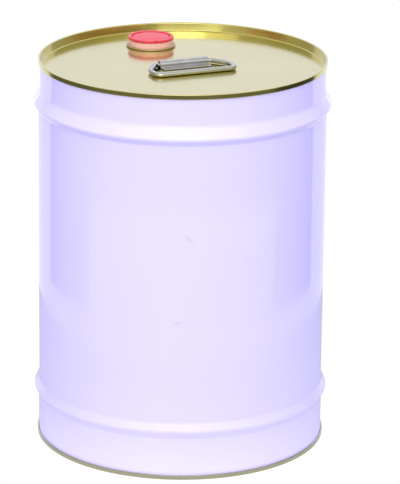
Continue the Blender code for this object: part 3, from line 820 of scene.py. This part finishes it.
def thread(angle, height, start, tip):
    """How far a one-start thread stands out at an angle and height. It runs out at both ends."""
    stand = 0.0
    for turn in range(math.ceil(THREAD_TURNS)):
        share = angle / (2 * math.pi) + turn
        aside = abs(height - start - THREAD_PITCH * share)
        ends = min(share, THREAD_TURNS - share) / THREAD_RUN_OUT
        flank = (THREAD_HALF_WIDTH - aside) / THREAD_FLANK
        stand = max(stand, tip * min(1, max(0, flank)) * min(1, max(0, ends)))
    return stand


NECK_THREAD_START = 0.8
NECK_THREAD_TIP = 0.85
NECK_ROUNDED_LIP = 0.3
WALL_START = 0.4
threaded = range(int((NECK_TOP - NECK_ROUNDED_LIP) / THREAD_STEP))
neck_wall = [(NECK_RADIUS, NECK_TOP - WALL_START - THREAD_STEP * step, 0) for step in threaded]
neck_section = rounded([
    (NECK_BORE, NECK_TOP, NECK_ROUNDED_LIP),
    (NECK_RADIUS, NECK_TOP, NECK_ROUNDED_LIP),
    *neck_wall,
    (NECK_RADIUS, NECK_FOOT, 0),
    (NECK_FOOT_RADIUS, NECK_FOOT, 0),
    (NECK_FOOT_RADIUS, NECK_BOTTOM, 0.2),
    (NECK_BORE, NECK_BOTTOM, 0.2),
], closed=True)
shape = bmesh.new()
neck_rings = spin(shape, neck_section, CLOSURE_FACETS, closure)
middle_of_wall = (NECK_BORE + NECK_RADIUS) / 2 * MM
axis = Vector((closure.x, closure.y, 0)) * MM
for ring in neck_rings:
    for point in ring:
        spoke = Vector((point.co.x - axis.x, point.co.y - axis.y, 0))
        if spoke.length > middle_of_wall:
            angle = math.atan2(spoke.y, spoke.x) % (2 * math.pi)
            stand = thread(angle, point.co.z / MM - closure.z, NECK_THREAD_START, NECK_THREAD_TIP)
            point.co += spoke.normalized() * stand * MM
neck_tube = finished("threaded_spout_neck", shape)
neck_tube.data.materials.append(pale)
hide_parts("spout_neck")
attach(neck_tube, "spout")

# Tear-out seal
# A thin disc moulded in the same plastic across the neck's bore, with a groove near its edge where it
# tears, and a post with a finger ring to pull it out at first use.
SEAL_RADIUS = 12.2
SEAL_BOTTOM = 0.2
SEAL_TOP = 1.0
TEAR_RING_RADIUS = 5.5
TEAR_RING_LEVEL = 4.0
TEAR_WIRE = 0.7
POST_RADIUS = 0.9
POST_FACETS = 32
POST_ROOT = 0.3
SEAL_ROUNDING = 0.15
GROOVE_RADIUS = 10.6
GROOVE_DEPTH = 0.35
TEAR_WIRE_SIDES = 16
TEAR_RING_FACETS = 64
seal_section = rounded([
    (0, SEAL_BOTTOM, 0),
    (SEAL_RADIUS, SEAL_BOTTOM, SEAL_ROUNDING),
    (SEAL_RADIUS, SEAL_TOP, SEAL_ROUNDING),
    (GROOVE_RADIUS + 0.3, SEAL_TOP, 0),
    (GROOVE_RADIUS, SEAL_TOP - GROOVE_DEPTH, 0),
    (GROOVE_RADIUS - 0.5, SEAL_TOP, 0),
    (0, SEAL_TOP, 0),
])
seal = solid("tear_out_seal", seal_section, CLOSURE_FACETS, closure)
post_place = closure + Vector((TEAR_RING_RADIUS, 0, 0))
post_foot = SEAL_TOP - POST_ROOT
post = rounded([
    (0, post_foot, 0),
    (POST_RADIUS, post_foot, 0),
    (POST_RADIUS, TEAR_RING_LEVEL, 0),
    (0, TEAR_RING_LEVEL, 0),
])
tear_wire = []
for step in range(TEAR_WIRE_SIDES):
    angle = 2 * math.pi * step / TEAR_WIRE_SIDES
    across = TEAR_RING_RADIUS + TEAR_WIRE * math.cos(angle)
    tear_wire.append((across, TEAR_RING_LEVEL + TEAR_WIRE * math.sin(angle)))
upright = solid("post", post, POST_FACETS, post_place)
finger_ring = solid("ring", tear_wire, TEAR_RING_FACETS, closure)
for tool in (upright, finger_ring):
    joined = seal.modifiers.new(tool.name, "BOOLEAN")
    joined.operation = "UNION"
    joined.object = tool
bpy.context.view_layer.update()
whole = seal.evaluated_get(bpy.context.evaluated_depsgraph_get())
seal_mesh = bpy.data.meshes.new_from_object(whole)
for joined in list(seal.modifiers):
    bpy.data.objects.remove(joined.object)
seal.modifiers.clear()
seal.data = seal_mesh
seal.data.materials.clear()
seal.data.materials.append(pale)
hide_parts("spout_seal")
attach(seal, "spout")

# Cap liner
# A punched disc of white polyethylene foam that lies loose in the cap and seals on the neck's lip, which
# has pressed a shallow ring into it.
LINER_RADIUS = 14.6
LINER_BOTTOM = 5.5
LINER_TOP = 6.2
liner_section = rounded([
    (0, LINER_TOP, 0),
    (LINER_RADIUS, LINER_TOP, 0.12),
    (LINER_RADIUS, LINER_BOTTOM, 0.12),
    (NECK_RADIUS, LINER_BOTTOM, 0.1),
    (NECK_RADIUS - 0.3, LINER_BOTTOM + 0.12, 0.1),
    (NECK_BORE + 0.3, LINER_BOTTOM + 0.12, 0.1),
    (NECK_BORE, LINER_BOTTOM, 0.1),
    (0, LINER_BOTTOM, 0),
])
liner = solid("foam_liner_disc", liner_section, CLOSURE_FACETS, closure)
foam = new_finish("polyethylene_foam")
where = add(foam, "TexCoord").outputs["Object"]
cells = add(foam, "TexVoronoi", {"Vector": where, "Scale": per(0.5)})
white = add(
    foam, "Mix", {0: cells.outputs["Distance"], 6: linear("#F4F4F0"), 7: linear("#DEDED8")}, data_type="RGBA"
)
skin = add(foam, "Bump", {"Height": cells.outputs["Distance"], "Strength": 0.4, "Distance": 0.1 * MM})
shader = add(
    foam, "BsdfPrincipled", {"Base Color": white.outputs[2], "Roughness": 0.85, "Normal": skin.outputs[0]}
)
add(foam, "OutputMaterial", {"Surface": shader.outputs[0]})
liner.data.materials.append(foam)
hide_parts("cap_liner")
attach(liner, "liner")

# Cap
# Injection-moulded in red polyethylene, with a threaded skirt inside the spout's base. A slightly bulging
# boss fills its pull rings, and the gate of the mould has left a dimple at the middle.
CAP_RADIUS = 19.85
CAP_TOP = 7.2
CAP_UNDERSIDE = 6.5
CAP_BULGE = 0.8
BOSS_RADIUS = 17.9
BOSS_EDGE = BOSS_RADIUS + 0.7
BOSS_HEIGHT = 2.2
CAP_SKIRT_OUTER = 16.95
CAP_SKIRT_INNER = 15.45
CAP_SKIRT_BOTTOM = -1.5
CAP_THREAD_START = -0.7
CAP_THREAD_TIP = 0.8
GATE_RADIUS = 1.5
GATE_DEPTH = 0.25
BULGE_STEPS = 24
bulge = []
for step in range(BULGE_STEPS + 1):
    share = step / BULGE_STEPS
    dimple = GATE_DEPTH * max(0, 1 - (share * BOSS_RADIUS / GATE_RADIUS) ** 2)
    bulge.append((share * BOSS_RADIUS, CAP_TOP + BOSS_HEIGHT + CAP_BULGE * (1 - share ** 2) - dimple, 0))
skirt_steps = range(int((CAP_UNDERSIDE - CAP_SKIRT_BOTTOM - 0.4) / THREAD_STEP))
inner_wall = [(CAP_SKIRT_INNER, CAP_SKIRT_BOTTOM + 0.3 + THREAD_STEP * step, 0) for step in skirt_steps]
cap_section = rounded([
    *bulge,
    (BOSS_EDGE, CAP_TOP + BOSS_HEIGHT, 0.6),
    (BOSS_EDGE, CAP_TOP, 0.2),
    (CAP_RADIUS, CAP_TOP, 0.2),
    (CAP_RADIUS, CAP_UNDERSIDE, 0.15),
    (CAP_SKIRT_OUTER, CAP_UNDERSIDE, 0.3),
    (CAP_SKIRT_OUTER, CAP_SKIRT_BOTTOM, 0.2),
    (CAP_SKIRT_INNER, CAP_SKIRT_BOTTOM, 0.2),
    *inner_wall,
    (CAP_SKIRT_INNER, CAP_UNDERSIDE, 0),
    (0, CAP_UNDERSIDE, 0),
])
shape = bmesh.new()
cap_rings = spin(shape, cap_section, CLOSURE_FACETS, closure)
for ring in cap_rings:
    for point in ring:
        spoke = Vector((point.co.x - axis.x, point.co.y - axis.y, 0))
        if abs(spoke.length / MM - CAP_SKIRT_INNER) < 0.01:
            angle = math.atan2(spoke.y, spoke.x) % (2 * math.pi)
            stand = thread(angle, point.co.z / MM - closure.z, CAP_THREAD_START, CAP_THREAD_TIP)
            point.co -= spoke.normalized() * stand * MM
cap = finished("red_screw_cap", shape)

# Red polyethylene: pigmented through, half gloss from a polished mould, with a very fine moulded grain
# drawn at 0.8 mm and slight swirls of pigment.
RED = "#D93C46"
RED_DEEP = "#CC323E"
red = new_finish("red_polyethylene")
where = add(red, "TexCoord").outputs["Object"]
swirl = add(red, "TexNoise", {"Vector": where, "Scale": per(7.0), "Detail": 3.0, "Distortion": 1.0})
colour = add(red, "Mix", {0: swirl.outputs["Fac"], 6: linear(RED), 7: linear(RED_DEEP)}, data_type="RGBA")
grain = add(red, "TexNoise", {"Vector": where, "Scale": per(0.8), "Detail": 2.0})
skin = add(red, "Bump", {"Height": grain.outputs["Fac"], "Strength": 0.12, "Distance": 0.03 * MM})
gloss = add(red, "MapRange", {0: swirl.outputs["Fac"], 3: 0.3, 4: 0.4})
shader = add(
    red,
    "BsdfPrincipled",
    {
        "Base Color": colour.outputs[2],
        "Roughness": gloss.outputs[0],
        "IOR": 1.51,
        "Subsurface Weight": 0.1,
        "Subsurface Radius": (1.0, 0.2, 0.15),
        "Subsurface Scale": 0.8 * MM,
        "Normal": skin.outputs[0],
    },
)
add(red, "OutputMaterial", {"Surface": shader.outputs[0]})
cap.data.materials.append(red)
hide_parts("cap")
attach(cap, "cap")

# Pull rings
# Two half rings of the cap's moulding that fold flat on it and stand up as a grip to pull the spout out.
# Each turns on a thin web along a line beside the cap's diameter.
RING_OUTER = 22.95
RING_WIDTH = 3.6
RING_THICKNESS = 2.6
RING_ROUNDING = 0.5
RING_TAIL = 1.1
RING_STEPS = 72
ring_inner = RING_OUTER - RING_WIDTH
for name, node, body, joint_name in (
    ("left_pull_ring", "pull_ring_left", "ring_left", "ring_left_fold"),
    ("right_pull_ring", "pull_ring_right", "ring_right", "ring_right_fold"),
):
    hinge = Vector(joints[joint_name]["pos_m"]) / MM
    outward = hinge - closure
    outward.z = 0
    tail_line = outward.length - RING_TAIL
    spin_angle = math.atan2(outward.y, outward.x) - math.pi / 2
    low = hinge.z - RING_THICKNESS / 2
    high = hinge.z + RING_THICKNESS / 2
    ring_section = rounded([
        (ring_inner, low, RING_ROUNDING / 2),
        (RING_OUTER, low, RING_ROUNDING / 2),
        (RING_OUTER, high, RING_ROUNDING),
        (ring_inner, high, RING_ROUNDING),
    ], closed=True)
    shape = bmesh.new()
    rings = []
    for step in range(RING_STEPS + 1):
        ring = []
        for radius, height in ring_section:
            first = math.asin(tail_line / radius)
            angle = spin_angle + first + (math.pi - 2 * first) * step / RING_STEPS
            place = Vector((radius * math.cos(angle), radius * math.sin(angle), height - closure.z))
            ring.append(shape.verts.new((closure + place) * MM))
        rings.append(ring)
    for near, far in zip(rings, rings[1:]):
        for side in range(len(ring_section)):
            following = (side + 1) % len(ring_section)
            shape.faces.new((near[side], near[following], far[following], far[side]))
    shape.faces.new(rings[0])
    shape.faces.new(rings[-1])
    pull_ring = finished(name, shape)
    pull_ring.data.materials.append(red)
    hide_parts(node)
    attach(pull_ring, body)

# Studio
# A white floor that glows a little, as a lit table does, with a wide soft light over the camera, fills at
# both sides, one overhead and a pale wall behind. Most lights are kept out of the gloss: what it mirrors
# are cards, cloths, walls and a ceiling that show only in reflections and give the metal its edges.
CAMERA_TURN = math.radians(-22.6)
CAMERA_DISTANCE = 3.0
CAMERA_HEIGHT = 1.1676
CAMERA_PITCH = math.radians(17.9)
CAMERA_ROLL = math.radians(0.64)
FOCAL_PIXELS = 3140
FRAME_HEIGHT = 484
AXIS_OFFSET_PIXELS = 19.5
SENSOR = 36.0

bpy.context.scene.view_settings.view_transform = "Standard"
camera = bpy.data.objects.new("camera", bpy.data.cameras.new("camera"))
bpy.context.scene.collection.objects.link(camera)
camera.data.sensor_width = SENSOR
camera.data.lens = FOCAL_PIXELS / FRAME_HEIGHT * SENSOR
camera.location = (
    CAMERA_DISTANCE * math.sin(CAMERA_TURN),
    -CAMERA_DISTANCE * math.cos(CAMERA_TURN),
    CAMERA_HEIGHT,
)
aim = CAMERA_TURN - math.atan(AXIS_OFFSET_PIXELS / FOCAL_PIXELS)
level = Euler((math.pi / 2 - CAMERA_PITCH, 0, aim)).to_matrix()
camera.rotation_euler = (level @ Matrix.Rotation(CAMERA_ROLL, 3, "Z")).to_euler()
bpy.context.scene.camera = camera

# The studio is laid out as the camera sees it: x to its right, y away from it.
studio = bpy.data.objects.new("studio", None)
studio.rotation_euler.z = CAMERA_TURN
bpy.context.scene.collection.objects.link(studio)

world = bpy.data.worlds.new("studio_air")
world.use_nodes = True
bpy.context.scene.world = world
backdrop = world.node_tree.nodes["Background"]
backdrop.inputs["Color"].default_value = linear("#F2F0FF")
backdrop.inputs["Strength"].default_value = 0.86
world.cycles_visibility.glossy = False


DISC_FACETS = 96


def disc(name, inner, outer, level):
    """A flat ring of floor, or a disc if it has no inner radius."""
    shape = bmesh.new()
    spin(shape, [(inner / MM, level / MM), (outer / MM, level / MM)], DISC_FACETS, closed=False)
    return finished(name, shape)


# The table under the drum is white paper that lights the drum from below. The floor round it goes on in
# the same white, and is left out of the light on the drum, as it would be with the room's lamps off.
TABLE_RADIUS = 0.22
FLOOR_RADIUS = 20.0
FLOOR_LEVEL = -0.0003
PAPER = "#9A9A9A"
PAPER_GLOW = 0.95
FLOOR_GLOW = 1.02
paper = new_finish("white_paper")
matt = add(paper, "BsdfDiffuse", {"Color": linear(PAPER)})
shine = add(paper, "Emission", {"Color": linear("#FFFFFF"), "Strength": PAPER_GLOW})
both = add(paper, "AddShader", {0: shine.outputs[0], 1: matt.outputs[0]})
add(paper, "OutputMaterial", {"Surface": both.outputs[0]})
paper.cycles.emission_sampling = "NONE"
table = disc("table", 0, TABLE_RADIUS, FLOOR_LEVEL)
table.data.materials.append(paper)


def glow(name, colour, strength):
    """A finish that shines by itself and reflects nothing."""
    finish = new_finish(name)
    shine = add(finish, "Emission", {"Color": linear(colour), "Strength": strength})
    add(finish, "OutputMaterial", {"Surface": shine.outputs[0]})
    finish.cycles.emission_sampling = "NONE"
    return finish


floor = disc("floor", TABLE_RADIUS, FLOOR_RADIUS, FLOOR_LEVEL)
floor.data.materials.append(glow("white_floor", "#FFFFFF", FLOOR_GLOW))
floor.visible_diffuse = False
floor.visible_shadow = False


def soft_box(name, place, target, size, radiance, colour="#FFFFFF"):
    """A rectangular light of a given radiance, facing a point."""
    light = bpy.data.lights.new(name, "AREA")
    light.shape = "RECTANGLE"
    light.size, light.size_y = size
    light.energy = radiance * math.pi * size[0] * size[1]
    light.color = linear(colour)[:3]
    box = bpy.data.objects.new(name, light)
    bpy.context.scene.collection.objects.link(box)
    box.parent = studio
    box.location = place
    box.rotation_euler = (Vector(target) - Vector(place)).to_track_quat("-Z", "Y").to_euler()
    box.visible_camera = False
    return box


middle_of_drum = (0, 0, 0.25)
soft_box("back_wall", (0, 2.4, 1.3), (0, 0, 1.3), (4.5, 2.6), 0.72, "#CFD5FA")
soft_box("front_fill", (-0.2, -2.5, 0.9), middle_of_drum, (2.6, 1.0), 1.0)
for name, place, size, radiance in (
    ("key", (0, -1.75, 1.53), (3.6, 0.75), 3.3),
    ("key_core", (0, -1.7, 1.45), (0.75, 0.4), 1.5),
    ("overhead", (0, -0.2, 2.2), (1.8, 1.8), 1.35),
    ("right_fill", (1.0, -1.7, 1.2), (1.0, 0.8), 1.25),
    ("left_fill", (-1.6, -1.2, 1.0), (1.0, 1.0), 1.3),
):
    soft_box(name, place, middle_of_drum, size, radiance).visible_glossy = False


def reflected(card, shade):
    """Makes a card of the studio that only shows in reflections."""
    card.data.materials.append(glow(card.name, "#FFFFFF", shade))
    card.parent = studio
    card.visible_camera = False
    card.visible_diffuse = False
    card.visible_shadow = False
    card.visible_transmission = False


CARD_STEPS = 32


def bent_card(name, first, last, radius, height):
    """An upright card bent round the drum between two angles, counted from the camera's side."""
    shape = bmesh.new()
    rows = []
    for step in range(CARD_STEPS + 1):
        angle = math.radians(first + (last - first) * step / CARD_STEPS)
        foot = Vector((radius * math.sin(angle), -radius * math.cos(angle), 0))
        rows.append([shape.verts.new(foot), shape.verts.new(foot + Vector((0, 0, height)))])
    for near, far in zip(rows, rows[1:]):
        shape.faces.new((near[0], far[0], far[1], near[1]))
    return finished(name, shape)


# Low dark cards stand round the front and sides. A grey cloth lies round the foot, so that it keeps its edge.
CLOTH_INNER = BOTTOM_SEAM_RADIUS * MM + 0.0003
CLOTH_OUTER = 0.5
CLOTH_LEVEL = 0.0006
reflected(bent_card("front_card", -85, 85, 0.95, 0.3), 0.15)
reflected(bent_card("left_card", -118, -70, 0.6, 0.35), 0.13)
reflected(bent_card("right_card", 70, 116, 0.6, 0.35), 0.05)
reflected(disc("table_cloth", CLOTH_INNER, CLOTH_OUTER, CLOTH_LEVEL), 0.62)
reflected(bent_card("front_wall", -75, 75, 3.2, 1.7), 0.8)
reflected(bent_card("room_walls", -180, 180, 4.5, 5.0), 0.5)
# The light over the camera, as the gloss sees it, brightest at its middle
for name, first, last, radius, low, height, shade in (
    ("key_cloth", -49, 49, 1.75, 1.2, 0.66, 1.7),
    ("key_middle", -20, 24, 1.72, 1.21, 0.5, 2.6),
    ("key_lamp", -15, 10, 1.7, 1.22, 0.25, 5.5),
):
    cloth = bent_card(name, first, last, radius, height)
    cloth.location.z = low
    reflected(cloth, shade)
upper_walls = bent_card("upper_walls", -180, 180, 4.4, 2.3)
upper_walls.location.z = 3.2
reflected(upper_walls, 0.9)
reflected(disc("ceiling", 0, 5.0, 5.5), 0.7)
ceiling = disc("lit_ceiling", 0, 3.0, 4.5)
ceiling.location.y = 3.0
reflected(ceiling, 1.0)
